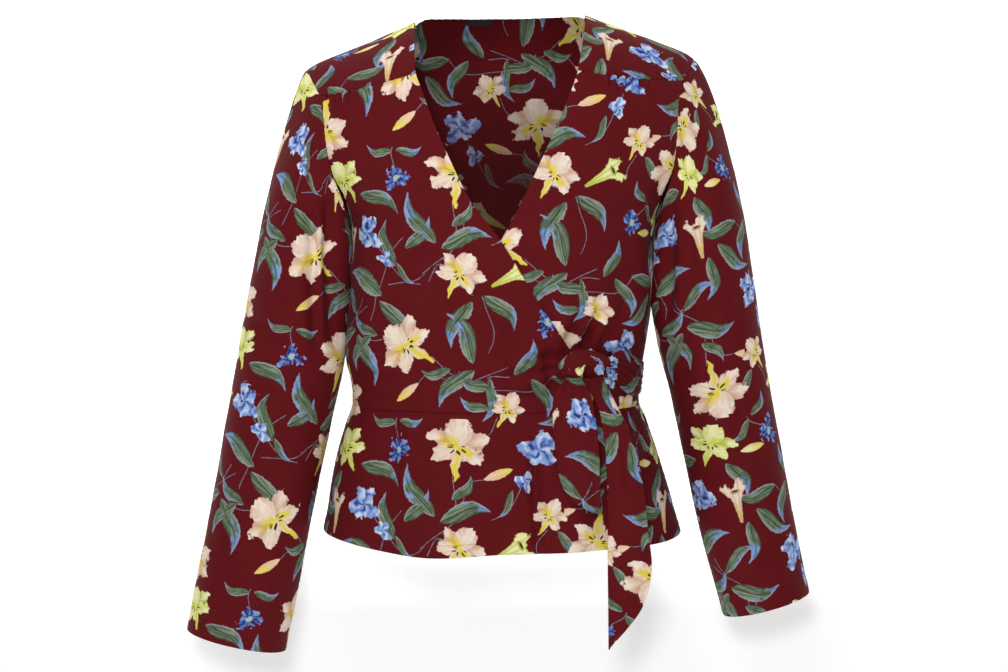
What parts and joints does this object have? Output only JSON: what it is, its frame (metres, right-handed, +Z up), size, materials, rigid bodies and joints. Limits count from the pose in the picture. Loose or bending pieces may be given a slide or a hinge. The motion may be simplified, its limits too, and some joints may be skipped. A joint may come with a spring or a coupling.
{
  "type": "wrap top",
  "caption": "Long-sleeved wrap top with a V neck, shoulder yokes, side-tied waist and flared peplum, filled out as worn with no wearer.",
  "frame": {"origin": "midway between the two shoulder seams at the neck, where the wearer's shoulders hold the top up", "axes": "+Z up, the front faces -Y, and +X is the wearer's left, at the right of the front view"},
  "size_m": [0.6755, 0.2571, 0.6859],
  "materials": {
    "cloth_front": "soft matt viscose with a light sheen, dark red with a printed flower pattern",
    "cloth_back": "the same printed cloth, its plain paler-printed inside showing in the neck",
    "cloth_yoke": "the same printed cloth over the shoulders",
    "cloth_peplum": "the same printed cloth, hemmed below",
    "cloth_sleeve": "the same printed cloth, hemmed at the cuff",
    "cloth_tie": "the same printed cloth, folded and knotted"
  },
  "bodies": {
    "root": {"bodice_front_over": "cloth_front", "bodice_front_under": "cloth_front", "bodice_back": "cloth_back", "yoke_right": "cloth_yoke", "yoke_left": "cloth_yoke", "peplum_front_over": "cloth_peplum", "peplum_front_under": "cloth_peplum", "peplum_back": "cloth_peplum", "sleeve_right": "cloth_sleeve", "sleeve_left": "cloth_sleeve", "sash": "cloth_tie", "tie_knot": "cloth_tie", "tie_long_end": "cloth_tie", "tie_short_end": "cloth_tie"}
  },
  "joints": []
}
